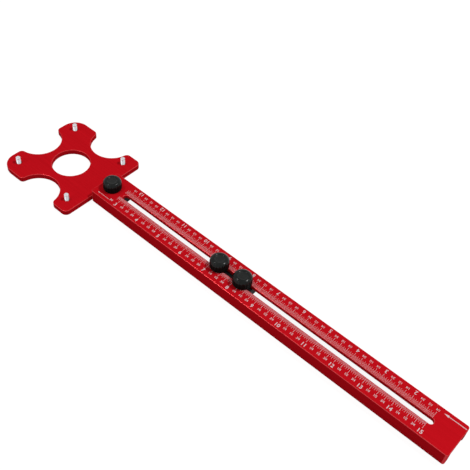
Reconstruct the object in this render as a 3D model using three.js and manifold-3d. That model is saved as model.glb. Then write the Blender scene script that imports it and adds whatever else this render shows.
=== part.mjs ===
// Circle and edge jig for a trim router, in millimetres with +Z up.
// A base plate screws under the router. A slotted rule bar is clamped to the plate's tongue by
// one knob, and a slider with a pivot pin is clamped anywhere along the bar's slot by two more.
// Pieces are drawn from the router bit's axis (x = 0, y = 0) and from the work surface (z = 0).
import * as THREE from 'three';
import { mergeVertices } from 'three/addons/utils/BufferGeometryUtils.js';
import Module from 'manifold-3d';

// Fits that every piece shares
const runningGap = 0.2; // each side, where a piece slides in the bar
const holeGap = 0.3; // around a bolt, screw, pin or insert in its hole
const slotGap = 0.6; // each side of a bolt in the bar's slot
const overrun = 2; // how far a cut runs past the face that it opens
const finePitch = 2; // longest facet on a large round edge
const fewestSides = 16; // sides of the smallest round piece

// Base plate
const plateSize = 88;
const plateThick = 5;
const plateOuterCornerRadius = 14;
const plateInnerCornerRadius = 5;
const notchMouthRadius = 4; // of the corners where a notch meets the plate's edge
const bitOpeningRadius = 17;
const ringWall = 7; // plate left between the bit opening and each notch
const sideNotchShift = 6; // the side notches sit this far towards the bar
const tongueReach = 21; // from the plate's edge, under the bar

// Screws that hold the router on the plate
const routerScrewInset = 11.5; // from the plate's edges
const routerScrewRadius = 2;
const routerScrewHeadRadius = 3.8;
const routerScrewHeadHeight = 2.2;
const routerScrewStandOut = 6; // thread above the plate, for the router's own base

// Cap bolts under the knobs
const boltRadius = 2;
const boltHeadRadius = 3.5;
const boltHeadHeight = 2.8;
const boltHeadSink = 0.3; // the head's face below the surface that it is sunk in

// Rule bar
const barGap = 0.3; // between the bar's end and the plate's edge
const barLength = 356.3;
const barWidth = 30.5;
const barHeight = 12.2;
const barWeb = 3;
const barWall = 5.3;
const barEdgeBevel = 0.5;
const barCornerRadius = 1.8;
const slotInset = 24.9; // from the bar's plate end to the slot
const slotOutset = 20.5; // from the slot to the bar's free end

// Anchor block between the tongue and the bar
const anchorScrewRadius = 1.5;
const anchorScrewHeadRadius = 2.9;
const anchorScrewHeadHeight = 1.7;
const anchorScrewInset = 4.2; // from the tongue's end
const anchorScrewSpacing = 11.6; // from screw to screw, across the block
const anchorScrewCover = 0.6; // block left above the screw's tip
const anchorLip = 2.5; // thickness of the block's lip in front of the tongue
const anchorLipGap = 0.3; // between the lip and the tongue's end
const anchorLipLift = 0.4; // the lip's foot above the work
const anchorBoltInset = 10.7; // from the bar's plate end to the first knob
const anchorSetback = 0.7; // the block's start behind the bar's plate end

// Slider with its two bolts and the pivot pin
const sliderLength = 42;
const sliderPlace = 191.5; // from the bit's axis to the pivot pin
const sliderLift = 1; // the slider's underside above the work
const sliderBoltInset = 8.85; // from the slider's ends
const pinLift = 0.4; // the pin's tip above the work when it is up
const pinCover = 0.8; // slider left above the pin's blind hole
const pinHeadroom = 0.3;
const pinTipBevel = 0.5;
const gripRingDepth = 1.2; // the grip ring's thickness from bore to rim
const gripRingHeight = 1.4;
const gripRingPlace = 0.9; // the ring's groove above the slider's underside

// Clamp knobs
const washerRadius = 6;
const washerThick = 0.8;
const knobRadius = 8;
const knobHeight = 9;
const knobFootGap = 0.2; // between the bar and the knob's foot, which covers the washer
const knobTopRounding = 3.2;
const knobDishRadius = 4.2; // of the hollow in the knob's top, at its rim
const knobDishDepth = 0.6;
const knobDishSlope = 0.7; // the hollow's side, from rim to floor
const knobFootBevel = 0.5;
const knobFlutes = 20;
const fluteRadius = 0.9;
const fluteDepth = 0.35;
const insertRadius = 3.7;
const insertHeight = 5.8;
const boltTipGap = 0.7; // between the bolt's tip and the end of the knob's hole

// Heights and widths that several pieces share
const barFloor = barHeight - barWeb;
const boltHoleRadius = boltRadius + holeGap;
const slotWidth = 2 * (boltRadius + slotGap);
const channelWidth = barWidth - 2 * barWall;
const blockWidth = channelWidth - 2 * runningGap;
const pinRadius = boltRadius; // the pin runs in a hole of the bolts' drill size

// Places along the bar
const plateEdge = plateSize / 2;
const notchRadius = plateEdge - bitOpeningRadius - ringWall;
const barStart = plateEdge + barGap;
const barEnd = barStart + barLength;
const slotStart = barStart + slotInset;
const slotEnd = barEnd - slotOutset;
const tongueEnd = plateEdge + tongueReach;
const anchorStart = barStart + anchorSetback;
const anchorEnd = tongueEnd + anchorLipGap + anchorLip;
const anchorBoltPlace = barStart + anchorBoltInset;
const sliderStart = sliderPlace - sliderLength / 2;
const sliderEnd = sliderPlace + sliderLength / 2;
const knobFoot = barHeight + knobFootGap;
const knobTop = knobFoot + knobHeight;
const insertSeat = barHeight + washerThick;
const insertTop = insertSeat + insertHeight;
const boltTip = insertTop - boltTipGap;

const wasm = await Module();
wasm.setup();

// A closed mesh as a solid that can be joined and cut
function solidOf(geometry) {
  geometry.deleteAttribute('normal');
  geometry.deleteAttribute('uv');
  const welded = mergeVertices(geometry);
  const vertProperties = new Float32Array(welded.attributes.position.array);
  const triVerts = new Uint32Array(welded.index.array);
  return new wasm.Manifold(new wasm.Mesh({ numProp: 3, vertProperties, triVerts }));
}

function geometryOf(solid) {
  const { vertProperties, triVerts } = solid.getMesh();
  const geometry = new THREE.BufferGeometry();
  geometry.setAttribute('position', new THREE.BufferAttribute(vertProperties, 3));
  geometry.setIndex(new THREE.BufferAttribute(triVerts, 1));
  geometry.computeVertexNormals();
  return geometry;
}

function sidesFor(radius) {
  const sides = 4 * Math.ceil((Math.PI * radius) / (2 * finePitch));
  return Math.max(fewestSides, sides);
}

// Upright round piece whose radius may change from its low end to its high end
function tapered(lowRadius, highRadius, low, high) {
  const sides = sidesFor(Math.max(lowRadius, highRadius));
  const geometry = new THREE.CylinderGeometry(highRadius, lowRadius, high - low, sides);
  geometry.rotateX(Math.PI / 2);
  geometry.translate(0, 0, (low + high) / 2);
  return solidOf(geometry);
}

function rod(radius, low, high) {
  return tapered(radius, radius, low, high);
}

function block(startX, endX, width, low, high) {
  const geometry = new THREE.BoxGeometry(endX - startX, width, high - low);
  geometry.translate((startX + endX) / 2, 0, (low + high) / 2);
  return solidOf(geometry);
}

// A flat outline in plan, raised from one height to another
function slab(shape, low, high, radius) {
  const curveSegments = Math.ceil(sidesFor(radius) / 4);
  const options = { depth: high - low, bevelEnabled: false, curveSegments };
  const geometry = new THREE.ExtrudeGeometry(shape, options);
  geometry.translate(0, 0, low);
  return solidOf(geometry);
}

// A turned piece: its half section is a list of [radius, height] that starts and ends on the axis
function turned(section, sides) {
  const points = section.map(([radius, height]) => new THREE.Vector2(radius, height));
  const geometry = new THREE.LatheGeometry(points, sides);
  geometry.rotateX(Math.PI / 2);
  return solidOf(geometry);
}

// Oblong along X with round ends
function oblong(startX, endX, width) {
  const radius = width / 2;
  const shape = new THREE.Shape();
  shape.absarc(endX - radius, 0, radius, -Math.PI / 2, Math.PI / 2, false);
  shape.absarc(startX + radius, 0, radius, Math.PI / 2, 1.5 * Math.PI, false);
  return shape;
}

// Countersunk screw with its head down, and the larger copy of it that cuts its hole
function sunkScrew(radius, headRadius, headHeight, low, tip) {
  const head = tapered(headRadius, radius, low, low + headHeight);
  return head.add(rod(radius, low + headHeight / 2, tip));
}

function sunkScrewHole(radius, headRadius, headHeight, low, top) {
  const taper = (headRadius - radius) / headHeight;
  const mouth = headRadius + holeGap + taper * (low + overrun);
  const neck = low + headHeight;
  const cone = tapered(mouth, radius + holeGap, -overrun, neck);
  return cone.add(rod(radius + holeGap, low, top));
}

// Cap bolt that points up, and the hole and head recess that take it
function capBolt(headLow, tip) {
  const head = rod(boltHeadRadius, headLow, headLow + boltHeadHeight);
  return head.add(rod(boltRadius, headLow + boltHeadHeight / 2, tip));
}

function capBoltHole(faceLow, top) {
  const recessTop = faceLow + boltHeadSink + boltHeadHeight;
  const recess = rod(boltHeadRadius + holeGap, faceLow - overrun, recessTop);
  return recess.add(rod(boltHoleRadius, faceLow, top + overrun));
}

function piece(name, solid, colour, roughness, metalness) {
  const material = new THREE.MeshStandardMaterial({ color: colour, roughness, metalness });
  const mesh = new THREE.Mesh(geometryOf(solid), material);
  mesh.name = name;
  return mesh;
}

const red = 0xb5121f;
const black = 0x161617;
const steel = 0xb9bcc0;
const brass = 0xb8923f;
const rubber = 0x222222;

// Corner points of the four router screws
function routerScrewPlaces() {
  const half = plateEdge - routerScrewInset;
  return [[-half, -half], [half, -half], [half, half], [-half, half]];
}

// Points on an arc in plan, from one angle to another
function arc(x, y, radius, from, to) {
  const steps = Math.ceil((sidesFor(radius) * Math.abs(to - from)) / (2 * Math.PI));
  const points = [];
  for (let step = 0; step <= steps; step += 1) {
    const angle = from + ((to - from) * step) / steps;
    points.push([x + radius * Math.cos(angle), y + radius * Math.sin(angle)]);
  }
  return points;
}

// A round notch in an edge, with its two mouth corners rounded. The outline runs along the edge
// in the direction of the angle turn.
function notch(x, y, turn) {
  const mouth = notchMouthRadius;
  const reach = Math.sqrt((notchRadius + mouth) ** 2 - mouth ** 2);
  const lean = Math.atan2(mouth, reach);
  const quarter = Math.PI / 2;
  const corner = (side, from, to) => arc(
    x + side * reach * Math.cos(turn) - mouth * Math.sin(turn),
    y + side * reach * Math.sin(turn) + mouth * Math.cos(turn),
    mouth, turn + from, turn + to);
  const hollow = arc(x, y, notchRadius, turn + Math.PI - lean, turn + lean);
  return [...corner(-1, -quarter, -lean), ...hollow.slice(1, -1),
    ...corner(1, Math.PI + lean, 3 * quarter)];
}

// Plate outline: a square with three round notches, large outer corners and small inner ones
function plateOutline() {
  const half = plateEdge;
  const outer = half - plateOuterCornerRadius;
  const inner = half - plateInnerCornerRadius;
  const quarter = Math.PI / 2;
  const points = [
    ...notch(sideNotchShift, -half, 0),
    ...arc(inner, -inner, plateInnerCornerRadius, -quarter, 0),
    ...arc(inner, inner, plateInnerCornerRadius, 0, quarter),
    ...notch(sideNotchShift, half, Math.PI),
    ...arc(-outer, outer, plateOuterCornerRadius, quarter, Math.PI),
    ...notch(-half, 0, -quarter),
    ...arc(-outer, -outer, plateOuterCornerRadius, Math.PI, 3 * quarter)];
  return new THREE.Shape(points.map(([x, y]) => new THREE.Vector2(x, y)));
}

function basePlate() {
  const tongue = block(plateEdge - overrun, tongueEnd, blockWidth, 0, plateThick);
  let plate = slab(plateOutline(), 0, plateThick, notchRadius).add(tongue);
  plate = plate.subtract(rod(bitOpeningRadius, -overrun, plateThick + overrun));
  for (const [x, y] of routerScrewPlaces()) {
    const hole = sunkScrewHole(routerScrewRadius, routerScrewHeadRadius,
      routerScrewHeadHeight, boltHeadSink, plateThick + overrun);
    plate = plate.subtract(hole.translate([x, y, 0]));
  }
  plate = plate.subtract(capBoltHole(0, plateThick).translate([anchorBoltPlace, 0, 0]));
  for (const [x, y] of anchorScrewPlaces()) {
    const hole = sunkScrewHole(anchorScrewRadius, anchorScrewHeadRadius,
      anchorScrewHeadHeight, boltHeadSink, plateThick + overrun);
    plate = plate.subtract(hole.translate([x, y, 0]));
  }
  return plate;
}

function routerScrew() {
  const tip = plateThick + routerScrewStandOut;
  return sunkScrew(routerScrewRadius, routerScrewHeadRadius, routerScrewHeadHeight,
    boltHeadSink, tip);
}

// Extruded channel with its web on top, milled slot, and a hole for the anchor bolt
function ruleBar() {
  const half = barWidth / 2;
  const inside = channelWidth / 2;
  const shoulder = barHeight - barEdgeBevel;
  const corners = [[-half, 0], [-inside, 0], [-inside, barFloor], [inside, barFloor],
    [inside, 0], [half, 0], [half, shoulder], [half - barEdgeBevel, barHeight],
    [-half + barEdgeBevel, barHeight], [-half, shoulder]];
  const section = new THREE.Shape(corners.map(([y, z]) => new THREE.Vector2(y, z)));
  const options = { depth: barLength, bevelEnabled: false };
  const stock = new THREE.ExtrudeGeometry(section, options);
  stock.rotateX(Math.PI / 2);
  stock.rotateZ(Math.PI / 2);
  stock.translate(barStart, 0, 0);

  const quarter = Math.PI / 2;
  const radius = barCornerRadius;
  const plan = new THREE.Shape();
  plan.absarc(barStart + radius, -half + radius, radius, Math.PI, 3 * quarter, false);
  plan.absarc(barEnd - radius, -half + radius, radius, -quarter, 0, false);
  plan.absarc(barEnd - radius, half - radius, radius, 0, quarter, false);
  plan.absarc(barStart + radius, half - radius, radius, quarter, Math.PI, false);

  const slot = oblong(slotStart, slotEnd, slotWidth);
  const hole = rod(boltHoleRadius, 0, barHeight + overrun);
  return solidOf(stock)
    .intersect(slab(plan, -overrun, barHeight + overrun, radius))
    .subtract(slab(slot, 0, barHeight + overrun, slotWidth))
    .subtract(hole.translate([anchorBoltPlace, 0, 0]));
}

function anchorScrewPlaces() {
  const x = tongueEnd - anchorScrewInset;
  return [[x, -anchorScrewSpacing / 2], [x, anchorScrewSpacing / 2]];
}

// Black block on the tongue, which fills the bar's channel above it and hooks down over its end
function anchorBlock() {
  const lip = block(anchorEnd - anchorLip, anchorEnd, blockWidth, anchorLipLift,
    plateThick + anchorLip);
  let anchor = block(anchorStart, anchorEnd, blockWidth, plateThick, barFloor).add(lip);
  const boltHole = rod(boltHoleRadius, 0, barFloor + overrun);
  anchor = anchor.subtract(boltHole.translate([anchorBoltPlace, 0, 0]));
  for (const [x, y] of anchorScrewPlaces()) {
    const tapped = rod(anchorScrewRadius + holeGap, 0, barFloor - anchorScrewCover + holeGap);
    anchor = anchor.subtract(tapped.translate([x, y, 0]));
  }
  return anchor;
}

function anchorScrew() {
  return sunkScrew(anchorScrewRadius, anchorScrewHeadRadius, anchorScrewHeadHeight,
    boltHeadSink, barFloor - anchorScrewCover);
}

// Black block that runs in the channel, drawn up under the slot by its two bolts
function sliderBlock() {
  let slider = block(sliderStart, sliderEnd, blockWidth, sliderLift, barFloor);
  for (const x of sliderBoltPlaces()) {
    slider = slider.subtract(capBoltHole(sliderLift, barFloor).translate([x, 0, 0]));
  }
  const pinHole = rod(boltHoleRadius, sliderLift - overrun, barFloor - pinCover);
  const groove = rod(pinRadius + gripRingDepth + 2 * holeGap, gripRingLow() - holeGap,
    gripRingLow() + gripRingHeight + holeGap);
  return slider.subtract(pinHole.add(groove).translate([sliderPlace, 0, 0]));
}

function sliderBoltPlaces() {
  return [sliderStart + sliderBoltInset, sliderEnd - sliderBoltInset];
}

function gripRingLow() {
  return sliderLift + gripRingPlace;
}

// Steel pin that is pushed down out of the slider into the work
function pivotPin() {
  const top = barFloor - pinCover - pinHeadroom;
  const tipRadius = pinRadius - pinTipBevel;
  const tip = tapered(tipRadius, pinRadius, pinLift, pinLift + pinTipBevel);
  return tip.add(rod(pinRadius, pinLift + pinTipBevel, top));
}

function gripRing() {
  const low = gripRingLow();
  const high = low + gripRingHeight;
  const bore = pinRadius + holeGap;
  const ring = rod(bore + gripRingDepth, low, high);
  return ring.subtract(rod(bore, low - overrun, high + overrun));
}

// Fluted cap with a rounded rim around a hollow top. Its blind hole takes the brass insert, and
// the recess in its foot takes the washer.
function knobCap() {
  const section = [[0, knobFoot], [knobRadius - knobFootBevel, knobFoot],
    [knobRadius, knobFoot + knobFootBevel]];
  const turns = 5;
  for (let step = 0; step <= turns; step += 1) {
    const angle = (step / turns) * (Math.PI / 2);
    section.push([knobRadius - knobTopRounding * (1 - Math.cos(angle)),
      knobTop - knobTopRounding * (1 - Math.sin(angle))]);
  }
  section.push([knobDishRadius, knobTop], [knobDishRadius - knobDishSlope, knobTop - knobDishDepth],
    [0, knobTop - knobDishDepth]);
  let cap = turned(section, 2 * knobFlutes);
  const fluteReach = knobRadius + fluteRadius - fluteDepth;
  for (let flute = 0; flute < knobFlutes; flute += 1) {
    const angle = ((flute + 0.5) / knobFlutes) * 2 * Math.PI;
    const sides = 8;
    const cutter = new THREE.CylinderGeometry(fluteRadius, fluteRadius,
      knobHeight + 2 * overrun, sides);
    cutter.rotateX(Math.PI / 2);
    cutter.translate(fluteReach * Math.cos(angle), fluteReach * Math.sin(angle),
      (knobFoot + knobTop) / 2);
    cap = cap.subtract(solidOf(cutter));
  }
  const hole = rod(insertRadius + holeGap, knobFoot - overrun, insertTop);
  const recess = rod(washerRadius + holeGap, knobFoot - overrun, insertSeat);
  return cap.subtract(hole.add(recess));
}

function knobInsert() {
  const tube = rod(insertRadius, insertSeat, insertTop);
  return tube.subtract(rod(boltHoleRadius, insertSeat - overrun, insertTop + overrun));
}

function knobWasher() {
  const disc = rod(washerRadius, barHeight, insertSeat);
  return disc.subtract(rod(boltHoleRadius, barHeight - overrun, insertSeat + overrun));
}

// One clamp knob with its insert and captive washer, on its bolt's axis
function clampKnob(number, place) {
  const knob = new THREE.Group();
  knob.add(piece(`knob_${number}_cap`, knobCap(), black, 0.35, 0));
  knob.add(piece(`knob_${number}_insert`, knobInsert(), brass, 0.35, 1));
  knob.add(piece(`knob_${number}_washer`, knobWasher(), steel, 0.4, 1));
  knob.position.x = place;
  return knob;
}

// The plate, the bar and what holds them together
const frame = new THREE.Group();
frame.add(piece('base_plate', basePlate(), red, 0.35, 0.6));
frame.add(piece('rule_bar', ruleBar(), red, 0.35, 0.6));
frame.add(piece('anchor_block', anchorBlock(), black, 0.5, 0));
routerScrewPlaces().forEach(([x, y], index) => {
  const screw = piece(`router_screw_${index + 1}`, routerScrew(), steel, 0.35, 1);
  screw.position.set(x, y, 0);
  frame.add(screw);
});
anchorScrewPlaces().forEach(([x, y], index) => {
  const screw = piece(`anchor_screw_${index + 1}`, anchorScrew(), steel, 0.35, 1);
  screw.position.set(x, y, 0);
  frame.add(screw);
});
const anchorBolt = piece('anchor_bolt', capBolt(boltHeadSink, boltTip), steel, 0.35, 1);
anchorBolt.position.x = anchorBoltPlace;
frame.add(anchorBolt);
frame.add(clampKnob(1, anchorBoltPlace));

// The slider with its bolts, pin and knobs
const slider = new THREE.Group();
slider.add(piece('slider_block', sliderBlock(), black, 0.5, 0));
sliderBoltPlaces().forEach((place, index) => {
  const number = index + 2;
  const bolt = capBolt(sliderLift + boltHeadSink, boltTip);
  const boltMesh = piece(`slider_bolt_${number}`, bolt, steel, 0.35, 1);
  boltMesh.position.x = place;
  slider.add(boltMesh);
  slider.add(clampKnob(number, place));
});
const pin = piece('pivot_pin', pivotPin(), steel, 0.25, 1);
const ring = piece('pin_grip_ring', gripRing(), rubber, 0.8, 0);
pin.position.x = sliderPlace;
ring.position.x = sliderPlace;
slider.add(pin, ring);

// The origin is under the middle of the whole jig, on the work surface
const jig = new THREE.Group();
jig.name = 'router_jig';
jig.add(frame, slider);
jig.position.x = (plateEdge - barEnd) / 2;

export default jig;
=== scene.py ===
import math

import bmesh
import bpy
from mathutils import Euler, Matrix, Vector


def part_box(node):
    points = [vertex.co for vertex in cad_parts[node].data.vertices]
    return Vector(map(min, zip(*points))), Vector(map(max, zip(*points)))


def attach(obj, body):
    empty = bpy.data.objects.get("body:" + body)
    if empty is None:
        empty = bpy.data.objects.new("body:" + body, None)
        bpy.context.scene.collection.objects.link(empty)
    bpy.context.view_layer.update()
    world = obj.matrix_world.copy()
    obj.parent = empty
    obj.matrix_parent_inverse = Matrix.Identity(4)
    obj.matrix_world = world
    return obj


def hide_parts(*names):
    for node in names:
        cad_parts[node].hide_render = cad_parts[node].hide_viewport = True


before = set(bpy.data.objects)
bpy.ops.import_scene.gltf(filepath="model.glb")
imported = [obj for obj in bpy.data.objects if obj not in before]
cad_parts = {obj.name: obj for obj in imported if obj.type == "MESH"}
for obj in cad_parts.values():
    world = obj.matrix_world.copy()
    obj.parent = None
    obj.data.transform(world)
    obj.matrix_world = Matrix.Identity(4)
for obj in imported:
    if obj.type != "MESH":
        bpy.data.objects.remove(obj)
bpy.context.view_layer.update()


# Camera
# It looks down at about 48 degrees from beyond the bar's free end, on the near side, back along
# the bar to the plate.
camera = bpy.data.objects.new("camera", bpy.data.cameras.new("camera"))
camera.data.sensor_width = 36
camera.data.lens = 59.378
camera.data.clip_start = 0.01
camera.location = (0.24932, -0.31050, 0.48555)
camera.rotation_euler = Euler([math.radians(a) for a in (42.2469, -3.9324, 41.5170)])
bpy.context.scene.collection.objects.link(camera)
bpy.context.scene.camera = camera
bpy.context.scene.view_settings.view_transform = "Standard"


# Studio light and floor
# The main lamp hangs beyond the free end, on the far side, and draws the bright spot on each knob.
# A small one beyond the plate draws the faint spot, and a low one in front lights the near side.
# The floor is plain and pale.
def lamp(name, place, size, watts):
    """Square lamp that points at the middle of the jig"""
    light = bpy.data.lights.new(name, "AREA")
    light.size = size
    light.energy = watts
    holder = bpy.data.objects.new(name, light)
    holder.location = place
    toward = -Vector(place)
    holder.rotation_euler = toward.to_track_quat("-Z", "Y").to_euler()
    bpy.context.scene.collection.objects.link(holder)


lamp("lamp_key", place=(0.62, 0.72, 1.76), size=0.28, watts=17.5)
lamp("lamp_gloss", place=(-0.48, -0.28, 1.12), size=0.12, watts=1.6)
lamp("lamp_front", place=(-0.45, -0.80, 0.55), size=0.50, watts=1.2)


def seen_white(nodes, links):
    """1 for rays from the camera and from gloss or glass, and 0 for the light that falls on things"""
    rays = nodes.new("ShaderNodeLightPath")
    glossy = nodes.new("ShaderNodeMath")
    glossy.operation = "MAXIMUM"
    links.new(rays.outputs["Is Glossy Ray"], glossy.inputs[0])
    links.new(rays.outputs["Is Transmission Ray"], glossy.inputs[1])
    either = nodes.new("ShaderNodeMath")
    either.operation = "MAXIMUM"
    links.new(rays.outputs["Is Camera Ray"], either.inputs[0])
    links.new(glossy.outputs[0], either.inputs[1])
    return either.outputs[0]


world = bpy.data.worlds.new("studio")
bpy.context.scene.world = world
world.use_nodes = True
nodes, links = world.node_tree.nodes, world.node_tree.links
soft_fill = nodes["Background"]
soft_fill.inputs["Color"].default_value = (1.0, 1.0, 1.0, 1.0)
soft_fill.inputs["Strength"].default_value = 0.26
white_sky = nodes.new("ShaderNodeBackground")
white_sky.inputs["Color"].default_value = (1.0, 1.0, 1.0, 1.0)
white_sky.inputs["Strength"].default_value = 1.0
sky_choice = nodes.new("ShaderNodeMixShader")
links.new(seen_white(nodes, links), sky_choice.inputs[0])
links.new(soft_fill.outputs[0], sky_choice.inputs[1])
links.new(white_sky.outputs[0], sky_choice.inputs[2])
links.new(sky_choice.outputs[0], nodes["World Output"].inputs["Surface"])

floor_paint = bpy.data.materials.new("floor_paint")
floor_paint.use_nodes = True
nodes, links = floor_paint.node_tree.nodes, floor_paint.node_tree.links
nodes.remove(nodes["Principled BSDF"])
pale = nodes.new("ShaderNodeBsdfDiffuse")
pale.inputs["Color"].default_value = (0.36, 0.36, 0.36, 1.0)
shaded = nodes.new("ShaderNodeBsdfDiffuse")
shaded.inputs["Color"].default_value = (0.17, 0.17, 0.17, 1.0)
glow = nodes.new("ShaderNodeEmission")
glow.inputs["Strength"].default_value = 0.93
white_floor = nodes.new("ShaderNodeAddShader")
links.new(shaded.outputs[0], white_floor.inputs[0])
links.new(glow.outputs[0], white_floor.inputs[1])
floor_choice = nodes.new("ShaderNodeMixShader")
links.new(seen_white(nodes, links), floor_choice.inputs[0])
links.new(pale.outputs[0], floor_choice.inputs[1])
links.new(white_floor.outputs[0], floor_choice.inputs[2])
links.new(floor_choice.outputs[0], nodes["Material Output"].inputs["Surface"])

floor_half = 6.0
floor_height = -0.0002

bm = bmesh.new()
bmesh.ops.create_grid(bm, x_segments=1, y_segments=1, size=floor_half)
bmesh.ops.translate(bm, verts=bm.verts, vec=(0, 0, floor_height))
floor_mesh = bpy.data.meshes.new("floor")
bm.to_mesh(floor_mesh)
bm.free()
floor_mesh.materials.append(floor_paint)
floor = bpy.data.objects.new("floor", floor_mesh)
bpy.context.scene.collection.objects.link(floor)


# Base plate
# A 5 mm aluminium plate, milled to a lobed outline and dyed red by anodising. It screws under
# the router, and its tongue runs on under the bar. Every edge has a small milled bevel, in a
# lighter red that paints a highlight along it.
plate_half = 44.0
plate_thick = 5.0
plate_bevel = 0.35
outer_corner = 14.0
inner_corner = 5.0
notch_radius = 20.0
notch_mouth = 4.0
notch_shift = 6.0
bit_opening = 17.0
tongue_half = 9.75
tongue_end = 65.0
screw_place = 32.5
screw_head_hole = 4.02
screw_head_top = 2.5
small_hole = 1.8
small_head_hole = 3.12
small_head_top = 2.0
bolt_hole = 2.3
bolt_head_hole = 3.8
bolt_head_roof = 3.1
knob_places = (55.0, 179.35, 203.65)
anchor_screw_places = ((60.8, -5.8), (60.8, 5.8))

# Corners that are nearer than this, in millimetres, are one
same_place = 0.0001

# Millimetres from the router bit's axis to the frame's metres
bit_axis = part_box("base_plate")[0].x + plate_half / 1000
to_frame = Matrix.Translation((bit_axis, 0, 0)) @ Matrix.Scale(0.001, 4)


def outline(bm, z, start, moves):
    """Draws a closed outline at one height: each move is a line to a point, or an arc about one"""
    least_steps = 6
    degrees_a_step = 12
    pen = bm.verts.new((*start, z))
    for x, y, turn in moves:
        if turn == 0:
            pen = bmesh.ops.extrude_vert_indiv(bm, verts=[pen])["verts"][0]
            pen.co = (x, y, z)
            continue
        reach = (Vector((x, y, z)) - pen.co).length
        steps = max(least_steps, math.ceil(math.sqrt(reach) * abs(turn) / degrees_a_step))
        arc = bmesh.ops.spin(bm, geom=[pen], cent=(x, y, z), axis=(0, 0, 1),
                             angle=math.radians(turn), steps=steps)
        pen = next(g for g in arc["geom_last"] if isinstance(g, bmesh.types.BMVert))
    bmesh.ops.remove_doubles(bm, verts=bm.verts, dist=same_place)


def rim(bm, z):
    """The open edges at one height"""
    return [e for e in bm.edges if len(e.link_faces) < 2
            and all(abs(v.co.z - z) < same_place for v in e.verts)]


def raise_walls(bm, low, high):
    """Draws walls up from the open edges at one height"""
    made = bmesh.ops.extrude_edge_only(bm, edges=rim(bm, low))["geom"]
    risen = [g for g in made if isinstance(g, bmesh.types.BMVert)]
    bmesh.ops.translate(bm, verts=risen, vec=(0, 0, high - low))


def lathe(bm, section, x=0.0, y=0.0, steps=48):
    """Turns a half section, a list of (radius, height), about an upright axis"""
    made = []
    for radius, height in section:
        made.append(bm.verts.new((x + radius, y, height)))
    for a, b in zip(made, made[1:]):
        made.append(bm.edges.new((a, b)))
    bmesh.ops.spin(bm, geom=made, cent=(x, y, 0), axis=(0, 0, 1), angle=math.tau,
                   steps=steps, use_merge=True)
    bmesh.ops.remove_doubles(bm, verts=bm.verts, dist=same_place)


def face_over(bm, z):
    """Fills the open outlines at one height with a flat face around the holes"""
    made = bmesh.ops.triangle_fill(bm, use_beauty=True, edges=rim(bm, z))["geom"]
    return [g for g in made if isinstance(g, bmesh.types.BMFace)]


def bevelled_face(bm, z, bevel, up):
    """Fills the outlines at one height and rounds every edge of the face, in two steps, by a bevel"""
    faces = face_over(bm, z)
    bmesh.ops.recalc_face_normals(bm, faces=bm.faces)
    rounding = []
    for inward, outward in ((0.30, 0.70), (0.70, 0.30)):
        ring = bmesh.ops.inset_region(bm, faces=faces, thickness=bevel * inward,
                                      use_even_offset=True, use_boundary=True)["faces"]
        lifted = {v for f in faces for v in f.verts}
        bmesh.ops.translate(bm, verts=list(lifted), vec=(0, 0, bevel * outward * up))
        rounding += ring
    # The rounding takes the second finish; on the red pieces that is a lighter red, a painted
    # highlight along the edge
    for face in rounding:
        face.material_index = 1


def piece(name, bm, finishes, body, slot, *nodes):
    """Puts a finished mesh into the scene: its finishes, its body and the CAD nodes it shows"""
    crease = 38
    straight = 0.9999
    bmesh.ops.recalc_face_normals(bm, faces=bm.faces)
    bmesh.ops.transform(bm, matrix=to_frame, verts=bm.verts)
    mesh = bpy.data.meshes.new(name)
    bm.to_mesh(mesh)
    bm.free()
    mesh.set_sharp_from_angle(angle=math.radians(crease))
    for face in mesh.polygons:
        face.use_smooth = max(abs(part) for part in face.normal) < straight
    for finish in finishes:
        mesh.materials.append(finish)
    made = bpy.data.objects.new(name, mesh)
    bpy.context.scene.collection.objects.link(made)
    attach(made, body)
    if nodes:
        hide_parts(*nodes)


def new_finish(name, colour, roughness, metallic, specular):
    """A new material and its shader, with the values that are the same all over the piece"""
    material = bpy.data.materials.new(name)
    material.use_nodes = True
    shader = material.node_tree.nodes["Principled BSDF"]
    shader.inputs["Base Color"].default_value = (*colour, 1.0)
    shader.inputs["Roughness"].default_value = roughness
    shader.inputs["Metallic"].default_value = metallic
    shader.inputs["Specular IOR Level"].default_value = specular
    return material, shader


def speckle(material, scale, stretch=(1.0, 1.0, 1.0), detail=3.0):
    """Noise over the piece's own coordinates, drawn out along an axis where stretch is small"""
    nodes, links = material.node_tree.nodes, material.node_tree.links
    place = nodes.new("ShaderNodeTexCoord")
    drawn = nodes.new("ShaderNodeMapping")
    drawn.inputs["Scale"].default_value = stretch
    links.new(place.outputs["Object"], drawn.inputs["Vector"])
    noise = nodes.new("ShaderNodeTexNoise")
    noise.inputs["Scale"].default_value = scale
    noise.inputs["Detail"].default_value = detail
    links.new(drawn.outputs["Vector"], noise.inputs["Vector"])
    return noise.outputs["Fac"]


def vary(material, pattern, socket, low, high):
    """Spreads a pattern's middle range over a shader value"""
    nodes, links = material.node_tree.nodes, material.node_tree.links
    spread = nodes.new("ShaderNodeMapRange")
    spread.inputs["From Min"].default_value = 0.3
    spread.inputs["From Max"].default_value = 0.7
    spread.inputs["To Min"].default_value = low
    spread.inputs["To Max"].default_value = high
    links.new(pattern, spread.inputs["Value"])
    links.new(spread.outputs["Result"], socket)


def tint(material, pattern, socket, one, other):
    """Mixes two colours by a pattern"""
    nodes, links = material.node_tree.nodes, material.node_tree.links
    ramp = nodes.new("ShaderNodeValToRGB")
    ramp.color_ramp.elements[0].position = 0.32
    ramp.color_ramp.elements[0].color = (*one, 1.0)
    ramp.color_ramp.elements[1].position = 0.68
    ramp.color_ramp.elements[1].color = (*other, 1.0)
    links.new(pattern, ramp.inputs["Fac"])
    links.new(ramp.outputs["Color"], socket)


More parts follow.
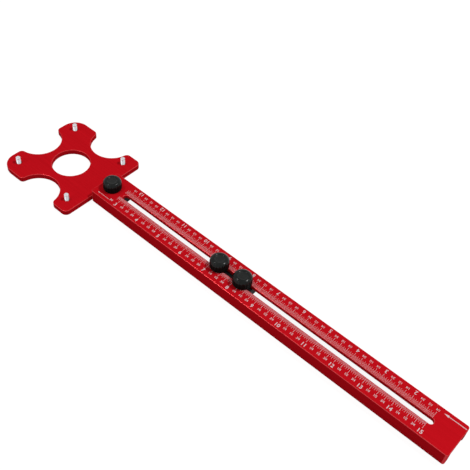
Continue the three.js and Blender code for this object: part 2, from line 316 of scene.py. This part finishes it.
def roughen(material, shader, layers):
    """Raises the surface by patterns laid over one another: (pattern, strength, height in metres)"""
    nodes, links = material.node_tree.nodes, material.node_tree.links
    below = None
    for pattern, strength, height in layers:
        bump = nodes.new("ShaderNodeBump")
        bump.inputs["Strength"].default_value = strength
        bump.inputs["Distance"].default_value = height
        links.new(pattern, bump.inputs["Height"])
        if below:
            links.new(below, bump.inputs["Normal"])
        below = bump.outputs["Normal"]
    links.new(below, shader.inputs["Normal"])


def red_anodised(name, one, other, rough_low, rough_high, metallic):
    """Satin red dye over fine blasting, with faint drawn lines along the piece"""
    material, shader = new_finish(name, one, rough_low, metallic, specular=0.0)
    shader.inputs["Specular Tint"].default_value = (1.0, 0.35, 0.40, 1.0)
    lines = speckle(material, 1.0, stretch=(9.0, 1300.0, 1300.0), detail=4.0)
    blasting = speckle(material, 3600.0, detail=2.0)
    tint(material, lines, shader.inputs["Base Color"], one, other)
    vary(material, lines, shader.inputs["Roughness"], rough_low, rough_high)
    roughen(material, shader, ((lines, 0.10, 0.00003), (blasting, 0.12, 0.00003)))
    return material


red_face = red_anodised("red_face", (0.565, 0.0054, 0.0112), (0.635, 0.0068, 0.0136),
                        rough_low=0.36, rough_high=0.47, metallic=0.06)
# Lighter, pinker and more metallic red for bevels and rounded corners: a painted highlight line, in
# part the thinner dye on a milled edge
red_edge = red_anodised("red_edge", (0.620, 0.0480, 0.0560), (0.680, 0.0600, 0.0680),
                        rough_low=0.26, rough_high=0.34, metallic=0.45)

low, high = plate_bevel, plate_thick - plate_bevel
mouth = plate_half - notch_mouth
mouth_reach = math.sqrt((notch_radius + notch_mouth) ** 2 - notch_mouth ** 2)
mouth_turn = math.degrees(math.atan2(mouth_reach, notch_mouth))
near_mouth, far_mouth = notch_shift - mouth_reach, notch_shift + mouth_reach
inner_place, outer_place = plate_half - inner_corner, outer_corner - plate_half
bm = bmesh.new()
outline(bm, low, (outer_place, -plate_half), (
    (near_mouth, -plate_half, 0), (near_mouth, -mouth, mouth_turn),
    (notch_shift, -plate_half, -2 * mouth_turn), (far_mouth, -mouth, mouth_turn),
    (inner_place, -plate_half, 0), (inner_place, -inner_place, 90),
    (plate_half, -tongue_half, 0), (tongue_end, -tongue_half, 0),
    (tongue_end, tongue_half, 0), (plate_half, tongue_half, 0),
    (plate_half, inner_place, 0), (inner_place, inner_place, 90),
    (far_mouth, plate_half, 0), (far_mouth, mouth, mouth_turn),
    (notch_shift, plate_half, -2 * mouth_turn), (near_mouth, mouth, mouth_turn),
    (outer_place, plate_half, 0), (outer_place, -outer_place, 90),
    (-plate_half, mouth_reach, 0), (-mouth, mouth_reach, mouth_turn),
    (-plate_half, 0, -2 * mouth_turn), (-mouth, -mouth_reach, mouth_turn),
    (-plate_half, outer_place, 0), (outer_place, outer_place, 90)))
raise_walls(bm, low, high)
lathe(bm, [(bit_opening, low), (bit_opening, high)], steps=96)
for x in (-screw_place, screw_place):
    for y in (-screw_place, screw_place):
        lathe(bm, [(screw_head_hole, low), (bolt_hole, screw_head_top), (bolt_hole, high)], x, y)
lathe(bm, [(bolt_head_hole, low), (bolt_head_hole, bolt_head_roof), (bolt_hole, bolt_head_roof),
           (bolt_hole, high)], knob_places[0])
for x, y in anchor_screw_places:
    lathe(bm, [(small_head_hole, low), (small_hole, small_head_top), (small_hole, high)], x, y,
          steps=32)
bevelled_face(bm, low, plate_bevel, -1)
bevelled_face(bm, high, plate_bevel, 1)
piece("base_plate_anodised", bm, (red_face, red_edge), "root", "red_anodised", "base_plate")


# Router screws
# Four M4 countersunk steel screws, zinc plated, come up through the plate and stand out above
# it to hold the router's own base. Each has a rolled thread and a six-sided socket in its head.
def bright_zinc():
    """Plated steel: a bluish grey metal with fine mottling"""
    material, shader = new_finish("bright_zinc", (0.62, 0.63, 0.66), roughness=0.3,
                                  metallic=1.0, specular=0.5)
    mottle = speckle(material, 700.0)
    fine = speckle(material, 5200.0, detail=2.0)
    tint(material, mottle, shader.inputs["Base Color"], (0.55, 0.56, 0.59), (0.69, 0.70, 0.72))
    vary(material, fine, shader.inputs["Roughness"], 0.24, 0.38)
    roughen(material, shader, ((mottle, 0.10, 0.00004), (fine, 0.10, 0.00002)))
    return material


def thread(radius, low, high, pitch):
    """Half section of a thread, as rings, from its low end to its bevelled tip"""
    tip_bevel = 0.35
    groove = 0.28
    section = []
    height = low
    while height + pitch < high - tip_bevel:
        section += [(radius, height), (radius - groove, height + pitch / 2)]
        height += pitch
    section += [(radius, height), (radius, high - tip_bevel), (radius - tip_bevel, high), (0, high)]
    return section


def socket(bm, z, x, y, across, depth):
    """Six-sided socket in a head's face that looks down"""
    hexagon = bmesh.ops.create_circle(bm, segments=6, radius=across / math.sqrt(3))["verts"]
    bmesh.ops.translate(bm, verts=hexagon, vec=(x, y, z))
    sides = list({e for v in hexagon for e in v.link_edges})
    risen = bmesh.ops.extrude_edge_only(bm, edges=sides)["geom"]
    upper = [g for g in risen if isinstance(g, bmesh.types.BMVert)]
    bmesh.ops.translate(bm, verts=upper, vec=(0, 0, depth))
    bmesh.ops.contextual_create(bm, geom=[g for g in risen if isinstance(g, bmesh.types.BMEdge)])


zinc = bright_zinc()
head_face = 0.3
screw_face = 3.55
screw_head = 3.8
screw_cone_start = 0.5
screw_radius = 2.0
screw_shank_end = 4.4
screw_thread_start = 4.6
screw_tip = 11.0
screw_pitch = 0.7

for number, (along, across) in enumerate(((-1, -1), (1, -1), (1, 1), (-1, 1)), start=1):
    x, y = along * screw_place, across * screw_place
    bm = bmesh.new()
    lathe(bm, [(screw_face, head_face), (screw_head, screw_cone_start),
               (screw_radius, screw_head_top), (screw_radius, screw_shank_end)]
          + thread(screw_radius, screw_thread_start, screw_tip, screw_pitch), x, y, steps=32)
    socket(bm, head_face, x, y, across=2.5, depth=1.3)
    face_over(bm, head_face)
    piece(f"router_screw_{number}_zinc", bm, (zinc,), "root", "zinc_steel", f"router_screw_{number}")


# Anchor block
# Moulded black nylon block on the tongue, inside the bar, with a lip down over the tongue's end.
# It fills the channel from side to side, so that the bar can't turn under its one knob.
def black_nylon():
    """Moulded nylon: near black, half matt, with a fine spark-eroded grain"""
    material, shader = new_finish("moulded_nylon", (0.009, 0.009, 0.010), roughness=0.5,
                                  metallic=0.0, specular=0.08)
    clouds = speckle(material, 160.0)
    grain = speckle(material, 3000.0)
    tint(material, clouds, shader.inputs["Base Color"],
         (0.007, 0.007, 0.008), (0.012, 0.012, 0.013))
    vary(material, grain, shader.inputs["Roughness"], 0.42, 0.60)
    roughen(material, shader, ((grain, 0.25, 0.00005),))
    return material


def soften(bm, edges, low, high):
    """Rounds a block's edges and opens its flat faces at two heights, where its holes come out"""
    mould_round = 0.35
    bmesh.ops.bevel(bm, geom=edges, offset=mould_round, offset_type="OFFSET", affect="EDGES",
                    segments=2, profile=0.5, material=-1)
    ends = [f for f in bm.faces for z in (low, high)
            if all(abs(v.co.z - z) < same_place for v in f.verts)]
    bmesh.ops.delete(bm, geom=ends, context="FACES_ONLY")


nylon = black_nylon()
anchor_start = 45.0
# The lip puts black over the tongue's end, which lies in shade down in the slot: a dark part standing
# in for painted shade
lip_start = 65.3
lip_end = 67.8
lip_low = 0.4
bar_floor = 9.2
small_hole_end = 8.9

bm = bmesh.new()
side = [bm.verts.new((x, -tongue_half, z)) for x, z in (
    (anchor_start, plate_thick), (lip_start, plate_thick), (lip_start, lip_low), (lip_end, lip_low),
    (lip_end, bar_floor), (anchor_start, bar_floor))]
across = bmesh.ops.extrude_face_region(bm, geom=[bm.faces.new(side)], use_keep_orig=True)["geom"]
far_side = [g for g in across if isinstance(g, bmesh.types.BMVert)]
bmesh.ops.translate(bm, verts=far_side, vec=(0, 2 * tongue_half, 0))
outward = [e for e in bm.edges
           if any(abs(v.co.x - lip_start) > same_place or v.co.z < plate_thick - same_place
                  for v in e.verts)]
soften(bm, outward, plate_thick, bar_floor)
lathe(bm, [(bolt_hole, plate_thick), (bolt_hole, bar_floor)], knob_places[0])
for x, y in anchor_screw_places:
    lathe(bm, [(0, small_hole_end), (small_hole, small_hole_end), (small_hole, plate_thick)], x, y,
          steps=24)
face_over(bm, plate_thick)
face_over(bm, bar_floor)
piece("anchor_block_moulded", bm, (nylon,), "root", "black_nylon", "anchor_block")


# Anchor screws and bolt
# Two small countersunk screws hold the block on the tongue from below. An M4 cap bolt, its head
# sunk in the tongue, comes up through block and bar to the first knob.
small_face = 2.7
small_head = 2.9
small_cone_start = 0.45
small_radius = 1.5
small_shank_end = 2.9
small_thread_start = 3.0
small_tip = 8.6
small_pitch = 0.5

for number, (x, y) in enumerate(anchor_screw_places, start=1):
    bm = bmesh.new()
    lathe(bm, [(small_face, head_face), (small_head, small_cone_start),
               (small_radius, small_head_top), (small_radius, small_shank_end)]
          + thread(small_radius, small_thread_start, small_tip, small_pitch), x, y, steps=32)
    socket(bm, head_face, x, y, across=2.0, depth=1.0)
    face_over(bm, head_face)
    piece(f"anchor_screw_{number}_zinc", bm, (zinc,), "root", "zinc_steel", f"anchor_screw_{number}")

bolt_head = 3.5
bolt_head_height = 2.8
bolt_head_bevel = 0.25
bolt_shank_end = 11.8
bolt_thread_start = 12.0
bolt_tip = 18.1


def cap_bolt(name, x, face, body, node):
    """Cap bolt with its head down: the head's face is at one height and the tip is in the knob"""
    back = face + bolt_head_height
    bm = bmesh.new()
    lathe(bm, [(bolt_head - bolt_head_bevel, face), (bolt_head, face + bolt_head_bevel),
               (bolt_head, back - bolt_head_bevel), (bolt_head - bolt_head_bevel, back),
               (screw_radius, back), (screw_radius, bolt_shank_end)]
          + thread(screw_radius, bolt_thread_start, bolt_tip, screw_pitch), x, steps=40)
    socket(bm, face, x, 0, across=3.0, depth=1.9)
    face_over(bm, face)
    piece(name, bm, (zinc,), body, "zinc_steel", node)


cap_bolt("anchor_bolt_zinc", knob_places[0], head_face, "root", "anchor_bolt")


# Rule bar
# Aluminium channel, extruded with its web on top and dyed red. A long slot with rounded ends is
# milled through the web, its corners are rounded off, and its edges are broken by a bevel that
# catches the light. The bevel and the rounded corners are a lighter red, a painted highlight.
bar_start = 44.3
bar_end = 400.6
bar_half = 15.25
bar_top = 12.2
channel_half = 9.95
bar_bevel = 0.4
foot_bevel = 0.12
corner_radius = 1.8
slot_start = 69.2
slot_end = 380.1
slot_half = 2.6

shoulder = bar_top - bar_bevel
bm = bmesh.new()
outline(bm, bar_floor, (slot_start + slot_half, -slot_half), (
    (slot_end - slot_half, -slot_half, 0), (slot_end - slot_half, 0, 180),
    (slot_start + slot_half, slot_half, 0), (slot_start + slot_half, 0, 180)))
raise_walls(bm, bar_floor, shoulder)
lathe(bm, [(bolt_hole, bar_floor), (bolt_hole, shoulder)], knob_places[0])
section = [bm.verts.new((bar_start, y, z)) for y, z in (
    (-bar_half, 0), (-channel_half, 0), (-channel_half, bar_floor), (channel_half, bar_floor),
    (channel_half, 0), (bar_half, 0), (bar_half, shoulder), (-bar_half, shoulder))]
drawn = bmesh.ops.extrude_face_region(bm, geom=[bm.faces.new(section)], use_keep_orig=True)["geom"]
drawn_end = [g for g in drawn if isinstance(g, bmesh.types.BMVert)]
bmesh.ops.translate(bm, verts=drawn_end, vec=(bar_end - bar_start, 0, 0))
corners = [e for e in bm.edges
           if abs(e.verts[0].co.z - e.verts[1].co.z) > bar_top / 2
           and all(abs(abs(v.co.y) - bar_half) < same_place for v in e.verts)]
rounded = bmesh.ops.bevel(bm, geom=corners, offset=corner_radius, offset_type="OFFSET",
                          affect="EDGES", segments=8, profile=0.5, material=-1)["faces"]
# The rounded corners take the lighter red too, a painted highlight
for face in rounded:
    face.material_index = 1
feet = [e for e in bm.edges if all(abs(v.co.z) < same_place for v in e.verts)]
bmesh.ops.bevel(bm, geom=feet, offset=foot_bevel, offset_type="OFFSET", affect="EDGES",
                segments=1, profile=0.5, material=-1)
opened = [f for f in bm.faces for z in (bar_floor, shoulder)
          if all(abs(v.co.z - z) < same_place for v in f.verts)]
bmesh.ops.delete(bm, geom=opened, context="FACES_ONLY")
face_over(bm, bar_floor)
bevelled_face(bm, shoulder, bar_bevel, 1)
piece("rule_bar_anodised", bm, (red_face, red_edge), "root", "red_anodised", "rule_bar")


# Inch scales
# Two scales are etched through the red dye to the pale metal, one on each side of the slot. The
# near one counts from close by the bit's axis, and the far one runs back from past the free end.
inch = 25.4
inch_lines = 32
near_zero = -4.8
far_zero = 408.85

# How far the four ranks of line reach from the slot's middle, and how wide a line is
near_reach = (5.5, 6.8, 7.4, 9.0)
far_reach = (6.3, 7.3, 7.9, 9.1)
near_line, far_line = 0.17, 0.13
quarter_line_more = 0.04

# How much fatter a figure is drawn, as a share of its height
near_weight, far_weight = 0.020, 0.009
number_height, fraction_height = 3.4, 2.0
number_squeeze, fraction_squeeze = 1.03, 0.85
mark_low, mark_high = bar_top - 0.05, bar_top + 0.03


def etched():
    """Bare metal under the dye: a pale matt, with a little pink left in it"""
    material, shader = new_finish("etched_mark", (0.85, 0.67, 0.70), roughness=0.6,
                                  metallic=0.0, specular=0.2)
    patches = speckle(material, 2400.0)
    tint(material, patches, shader.inputs["Base Color"], (0.82, 0.60, 0.63), (0.88, 0.74, 0.77))
    vary(material, patches, shader.inputs["Roughness"], 0.5, 0.7)
    roughen(material, shader, ((patches, 0.2, 0.00003),))
    return material


etch = etched()


def scale_marks(name, side, reach, line_width, place, first, last):
    """Lines of one scale, 32 to the inch: longer ones at sixteenths, eighths and quarters"""
    start = slot_half + bar_bevel
    bm = bmesh.new()
    for count in range(first, last + 1):
        end = reach[0]
        for longer, every in zip(reach[1:], (2, 4, 8)):
            if count % every == 0:
                end = longer
        width = line_width
        if count % 8 == 0:
            width += quarter_line_more
        line = bmesh.ops.create_cube(bm, size=1.0)["verts"]
        bmesh.ops.scale(bm, verts=line, vec=(width, end - start, mark_high - mark_low))
        bmesh.ops.translate(bm, verts=line, vec=(
            place(count / inch_lines), side * (start + end) / 2, (mark_low + mark_high) / 2))
    piece(name, bm, (etch,), "root", "red_anodised")


def lettered(bm, text, x, y, height, squeeze, weight, turn):
    """Adds one number or fraction of the scale, centred on x, with its foot at y"""
    digit_share = 0.73
    curve = bpy.data.curves.new("label", "FONT")
    curve.body = text
    curve.size = height / digit_share
    curve.align_x = "CENTER"
    curve.resolution_u = 3
    curve.offset = weight * height
    curve.extrude = (mark_high - mark_low) / 2
    label = bpy.data.objects.new("label", curve)
    bpy.context.scene.collection.objects.link(label)
    ready = label.evaluated_get(bpy.context.evaluated_depsgraph_get())
    mesh = bpy.data.meshes.new_from_object(ready)
    bpy.data.objects.remove(label)
    mesh.transform(Matrix.Translation((x, y, (mark_low + mark_high) / 2))
                   @ Matrix.Rotation(math.radians(turn), 4, "Z")
                   @ Matrix.Diagonal((squeeze, 1, 1, 1)))
    bm.from_mesh(mesh)
    bpy.data.meshes.remove(mesh)


def scale_numbers(name, place, first, last, foot, small_foot, weight, turn):
    """Numbers at the inches of one scale, and smaller fractions at the quarters between"""
    bm = bmesh.new()
    for quarter in range(first, last + 1):
        fraction = ("", "1/4", "1/2", "3/4")[quarter % 4]
        if fraction:
            lettered(bm, fraction, place(quarter / 4), small_foot,
                     fraction_height, fraction_squeeze, weight, turn)
        else:
            lettered(bm, str(quarter // 4), place(quarter / 4), foot,
                     number_height, number_squeeze, weight, turn)
    bmesh.ops.remove_doubles(bm, verts=bm.verts, dist=10 * same_place)
    piece(name, bm, (etch,), "root", "red_anodised")


def near_place(inches):
    """Where the near scale has a reading, along the bar"""
    return near_zero + inches * inch


def far_place(inches):
    """Where the far scale has a reading, along the bar"""
    return far_zero - inches * inch


scale_marks("near_scale_lines", -1, near_reach, near_line, near_place, first=91, last=480)
scale_marks("far_scale_lines", 1, far_reach, far_line, far_place, first=40, last=430)
scale_numbers("near_scale_numbers", near_place, first=11, last=60, foot=-13.4, small_foot=-11.6,
              weight=near_weight, turn=0)
scale_numbers("far_scale_numbers", far_place, first=5, last=53, foot=13.4, small_foot=11.9,
              weight=far_weight, turn=180)


def arrow(name, tail, tip, y, width, head_length, head_width):
    """Arrow along the bar that shows which way a scale is read"""
    way = 1 if tip > tail else -1
    neck = tip - way * head_length
    bm = bmesh.new()
    outline(bm, mark_low, (tail, y - width / 2), (
        (neck, y - width / 2, 0), (neck, y - head_width / 2, 0), (tip, y, 0),
        (neck, y + head_width / 2, 0), (neck, y + width / 2, 0),
        (tail, y + width / 2, 0), (tail, y - width / 2, 0)))
    raise_walls(bm, mark_low, mark_high)
    face_over(bm, mark_low)
    face_over(bm, mark_high)
    piece(name, bm, (etch,), "root", "red_anodised")


arrow("far_scale_arrow", tail=399.8, tip=381.5, y=11.6, width=0.52, head_length=4.0, head_width=1.9)
arrow("near_scale_arrow", tail=62.8, tip=49.5, y=-11.7, width=0.28, head_length=2.0, head_width=1.0)


# Slider
# Moulded black nylon block that runs in the bar's channel, under the slot. Two cap bolts rise
# through it and the slot to the two middle knobs, and the pivot pin stands in it between them.
slider_start = 170.5
slider_end = 212.5
slider_low = 1.0
slider_top = bar_floor - 0.03
slider_bolt_face = slider_low + head_face
slider_bolt_roof = slider_low + bolt_head_roof
pin_place = 191.5
pin_hole = 2.3
pin_hole_end = 8.4
groove_low, groove_high = 1.6, 3.6
groove_radius = 3.8

bm = bmesh.new()
block = bmesh.ops.create_cube(bm, size=1.0)["verts"]
bmesh.ops.scale(bm, verts=block, vec=(
    slider_end - slider_start, 2 * tongue_half, slider_top - slider_low))
bmesh.ops.translate(bm, verts=block, vec=(
    (slider_start + slider_end) / 2, 0, (slider_low + slider_top) / 2))
soften(bm, bm.edges[:], slider_low, slider_top)
for x in knob_places[1:]:
    lathe(bm, [(bolt_head_hole, slider_low), (bolt_head_hole, slider_bolt_roof),
               (bolt_hole, slider_bolt_roof), (bolt_hole, slider_top)], x)
lathe(bm, [(pin_hole, slider_low), (pin_hole, groove_low), (groove_radius, groove_low),
           (groove_radius, groove_high), (pin_hole, groove_high), (pin_hole, pin_hole_end),
           (0, pin_hole_end)], pin_place)
face_over(bm, slider_low)
face_over(bm, slider_top)
piece("slider_block_moulded", bm, (nylon,), "slider", "black_nylon", "slider_block")
cap_bolt("slider_bolt_2_zinc", knob_places[1], slider_bolt_face, "slider", "slider_bolt_2")
cap_bolt("slider_bolt_3_zinc", knob_places[2], slider_bolt_face, "slider", "slider_bolt_3")


# Pivot pin and grip ring
# A ground steel rod that is pushed down out of the slider into the work, for the jig to swing
# about, and the black rubber ring in the slider that keeps it from falling.
def ground_steel():
    """Steel ground round its axis: bright, with fine rings"""
    material, shader = new_finish("ground_steel", (0.66, 0.67, 0.69), roughness=0.2,
                                  metallic=1.0, specular=0.5)
    rings = speckle(material, 1.0, stretch=(60.0, 60.0, 9000.0))
    tint(material, rings, shader.inputs["Base Color"], (0.62, 0.63, 0.65), (0.70, 0.71, 0.73))
    vary(material, rings, shader.inputs["Roughness"], 0.16, 0.30)
    roughen(material, shader, ((rings, 0.15, 0.00001),))
    return material


def black_rubber():
    """Soft black rubber with a dull moulded skin"""
    material, shader = new_finish("black_rubber", (0.014, 0.014, 0.014), roughness=0.75,
                                  metallic=0.0, specular=0.3)
    skin = speckle(material, 2600.0)
    tint(material, skin, shader.inputs["Base Color"], (0.011, 0.011, 0.011), (0.019, 0.019, 0.019))
    vary(material, skin, shader.inputs["Roughness"], 0.65, 0.85)
    roughen(material, shader, ((skin, 0.3, 0.00004),))
    return material


pin_radius = 2.0
pin_low, pin_high = 0.4, 8.1
pin_tip_bevel, pin_back_bevel = 0.5, 0.3

bm = bmesh.new()
lathe(bm, [(0, pin_low), (pin_radius - pin_tip_bevel, pin_low), (pin_radius, pin_low + pin_tip_bevel),
           (pin_radius, pin_high - pin_back_bevel), (pin_radius - pin_back_bevel, pin_high),
           (0, pin_high)], pin_place, steps=40)
piece("pivot_pin_ground", bm, (ground_steel(),), "pivot", "polished_steel", "pivot_pin")

ring_middle = 2.9
ring_half_width, ring_half_height = 0.6, 0.7
ring_place = (groove_low + groove_high) / 2

bm = bmesh.new()
section = []
for angle in range(0, 361, 30):
    turn = math.radians(angle)
    section.append((ring_middle + ring_half_width * math.cos(turn),
                    ring_place + ring_half_height * math.sin(turn)))
lathe(bm, section, pin_place, steps=40)
piece("pin_grip_ring_rubber", bm, (black_rubber(),), "slider", "black_rubber", "pin_grip_ring")


# Clamp knobs
# Three small moulded black knobs, glossy on the shoulder and rim, matt on the fluted grip, and
# half matt in the hollow top. Each has a turned brass insert, and a plated washer that sits in
# its foot.
knob_foot = 12.4
knob_top = 21.4
knob_radius = 8.0
knob_shoulder = 3.2
foot_round = 0.5
hollow_radius = 4.2
hollow_depth = 0.6
hollow_edge = 0.3
knob_flutes = 20
flute_depth = 0.35
flute_half_share = 0.3
flute_inner = 6.9

# A flute fades in from the shoulder's side and up from the foot over these lengths
flute_fade_in, flute_fade_up = 0.9, 0.6
insert_radius = 3.7
insert_hole = 4.0
insert_top = 18.8
insert_bevel = 0.2
washer_radius = 6.0
washer_recess = 6.3
washer_top = 13.0
washer_bevel = 0.15


def knob_plastic(name, rough_low, rough_high, specular, grain_strength):
    """Moulded black plastic, slightly green, with faint flow marks under a finer grain"""
    material, shader = new_finish(name, (0.0045, 0.0058, 0.0052), rough_low,
                                  metallic=0.0, specular=specular)
    flow = speckle(material, 260.0)
    grain = speckle(material, 3400.0, detail=2.0)
    tint(material, flow, shader.inputs["Base Color"],
         (0.0038, 0.0050, 0.0045), (0.0065, 0.0082, 0.0075))
    vary(material, flow, shader.inputs["Roughness"], rough_low, rough_high)
    roughen(material, shader, ((flow, 0.12, 0.00005), (grain, grain_strength, 0.00003)))
    return material


def turned_brass():
    """Brass with turning marks round its axis"""
    material, shader = new_finish("turned_brass", (0.70, 0.50, 0.19), roughness=0.3,
                                  metallic=1.0, specular=0.5)
    rings = speckle(material, 1.0, stretch=(80.0, 80.0, 7000.0))
    tint(material, rings, shader.inputs["Base Color"], (0.62, 0.43, 0.15), (0.74, 0.55, 0.23))
    vary(material, rings, shader.inputs["Roughness"], 0.25, 0.42)
    roughen(material, shader, ((rings, 0.2, 0.00002),))
    return material


knob_gloss = knob_plastic("knob_gloss", 0.15, 0.21, specular=0.16, grain_strength=0.03)
knob_matt = knob_plastic("knob_matt", 0.46, 0.60, specular=0.04, grain_strength=0.20)
knob_hollow = knob_plastic("knob_hollow", 0.30, 0.42, specular=0.19, grain_strength=0.12)
brass = turned_brass()


def knob_cap(x):
    """A cap turned from its half section and then pressed in at the flutes"""
    grip_low = knob_foot + foot_round
    shoulder = knob_top - knob_shoulder
    hollow_floor = knob_top - hollow_depth
    section = [(0, insert_top), (insert_hole, insert_top), (insert_hole, washer_top),
               (washer_recess, washer_top), (washer_recess, knob_foot),
               (knob_radius - foot_round, knob_foot),
               (knob_radius - 0.3 * foot_round, knob_foot + 0.3 * foot_round),
               (knob_radius, grip_low)]
    for step in range(1, 6):
        section.append((knob_radius, grip_low + (shoulder - grip_low) * step / 5))
    for angle in range(15, 91, 15):
        turn = math.radians(angle)
        section.append((knob_radius - knob_shoulder * (1 - math.cos(turn)),
                        shoulder + knob_shoulder * math.sin(turn)))
    for out, sunk in ((0.45, 0.0), (0.2, 0.12), (0.0, 0.35),
                      (-0.25, 0.72), (-0.5, 0.92), (-0.9, 1.0)):
        section.append((hollow_radius + out, knob_top - hollow_depth * sunk))
    for ring in (3.0, 1.2, 0):
        section.append((ring, hollow_floor))
    bm = bmesh.new()
    lathe(bm, section, steps=10 * knob_flutes)
    for face in bm.faces:
        middle = face.calc_center_median()
        if middle.z < shoulder:
            face.material_index = 1
        elif math.hypot(middle.x, middle.y) < hollow_radius - hollow_edge:
            face.material_index = 2
    for v in bm.verts:
        radius = math.hypot(v.co.x, v.co.y)
        if radius < flute_inner or v.co.z < knob_foot + same_place:
            continue
        turn = math.atan2(v.co.y, v.co.x) / math.tau * knob_flutes
        beside = abs(turn - math.floor(turn) - 0.5) / flute_half_share
        if beside < 1:
            fade = min(1.0, (radius - flute_inner) / flute_fade_in,
                       (v.co.z - knob_foot) / flute_fade_up)
            pressed = radius - flute_depth * fade * math.cos(beside * math.pi / 2)
            v.co.x *= pressed / radius
            v.co.y *= pressed / radius
    bmesh.ops.translate(bm, verts=bm.verts, vec=(x, 0, 0))
    return bm


def collar(x, radius, bevel, low, high):
    """A ring round a bolt, with its outer edges bevelled"""
    bm = bmesh.new()
    lathe(bm, [(bolt_hole, low), (radius - bevel, low), (radius, low + bevel), (radius, high - bevel),
               (radius - bevel, high), (bolt_hole, high), (bolt_hole, low)], x)
    return bm


for number, x in enumerate(knob_places, start=1):
    lift, turning = f"knob_{number}_lift", f"knob_{number}"
    piece(f"knob_{number}_cap_moulded", knob_cap(x), (knob_gloss, knob_matt, knob_hollow), turning,
          "black_knob", f"knob_{number}_cap")
    insert = collar(x, insert_radius, insert_bevel, washer_top, insert_top)
    piece(f"knob_{number}_insert_brass", insert, (brass,), turning, "brass_insert",
          f"knob_{number}_insert")
    washer = collar(x, washer_radius, washer_bevel, bar_top, washer_top)
    piece(f"knob_{number}_washer_zinc", washer, (zinc,), lift, "zinc_steel", f"knob_{number}_washer")
